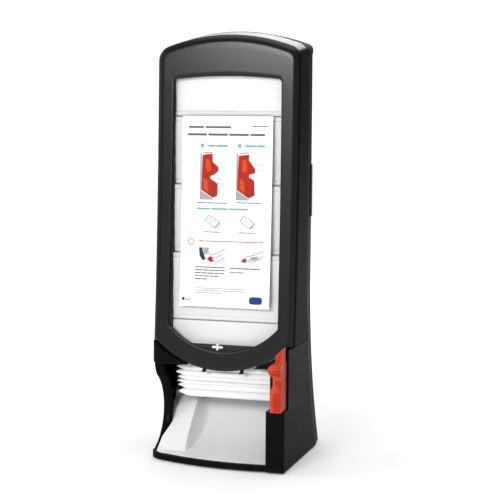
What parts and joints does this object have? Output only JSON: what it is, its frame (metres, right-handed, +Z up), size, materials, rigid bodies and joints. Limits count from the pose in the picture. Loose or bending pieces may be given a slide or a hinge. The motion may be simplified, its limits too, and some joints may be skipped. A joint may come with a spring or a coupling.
{
  "type": "napkin dispenser",
  "caption": "Tall counter-top napkin dispenser with an arched windowed cover, scooped base and open dispensing mouth.",
  "frame": {"origin": "centre of the footprint on the counter surface, under the rubber feet", "axes": "+Z up, -Y toward the user (window and mouth side), +X to the user's right"},
  "size_m": [0.215, 0.2356, 0.626],
  "materials": {
    "housing_plastic": "semi-gloss black",
    "base_plastic": "semi-gloss black",
    "cover_plastic": "gloss black",
    "inner_plastic": "matte dark grey",
    "latch_plastic": "satin black",
    "tray_plastic": "satin white",
    "guide_plastic": "satin orange-red",
    "clip_plastic": "white",
    "window_glass": "clear",
    "card_stock": "printed coated card",
    "napkin_paper": "white tissue",
    "arm_steel": "plated sheet steel",
    "screw_steel": "plated steel",
    "foot_rubber": "black rubber"
  },
  "bodies": {
    "housing": {"rear_housing": "housing_plastic", "base_shell": "base_plastic", "base_plate": "inner_plastic", "base_screws": "screw_steel", "rubber_feet": "foot_rubber", "tray_liner": "tray_plastic", "finger_guide": "guide_plastic", "guide_screws": "screw_steel", "napkin_shelf": "inner_plastic", "side_guide_left": "inner_plastic", "side_guide_right": "inner_plastic", "back_guide": "inner_plastic", "hinge_pin_left": "screw_steel", "hinge_pin_right": "screw_steel", "latch_bracket": "inner_plastic", "latch_springs": "screw_steel", "napkin_pack_1": "napkin_paper", "napkin_pack_2": "napkin_paper", "napkin_pack_3": "napkin_paper", "napkin_pack_4": "napkin_paper", "napkin_pack_5": "napkin_paper"},
    "cover": {"front_cover": "cover_plastic", "window_pane": "window_glass", "window_frame": "inner_plastic", "instruction_card": "card_stock", "inner_panel": "window_glass", "card_clip": "clip_plastic", "retaining_fingers": "inner_plastic", "hinge_arm_left": "arm_steel", "hinge_arm_right": "arm_steel", "arm_screws": "screw_steel", "cover_strike": "arm_steel", "strike_screws": "screw_steel"},
    "latch": {"latch_bar": "latch_plastic"}
  },
  "joints": [
    {"name": "cover_hinge", "type": "hinge", "parent": "housing", "child": "cover", "pos_m": [0, 0.05122, 0.599], "axis": [-1, 0, 0], "range_deg": [0, 60]},
    {"name": "latch_press", "type": "slide", "parent": "housing", "child": "latch", "axis": [-1, 0, 0], "range_m": [0, 0.003], "stiffness_N_per_m": 600, "springref_m": -0.0005, "deforming": ["latch_springs"]}
  ]
}
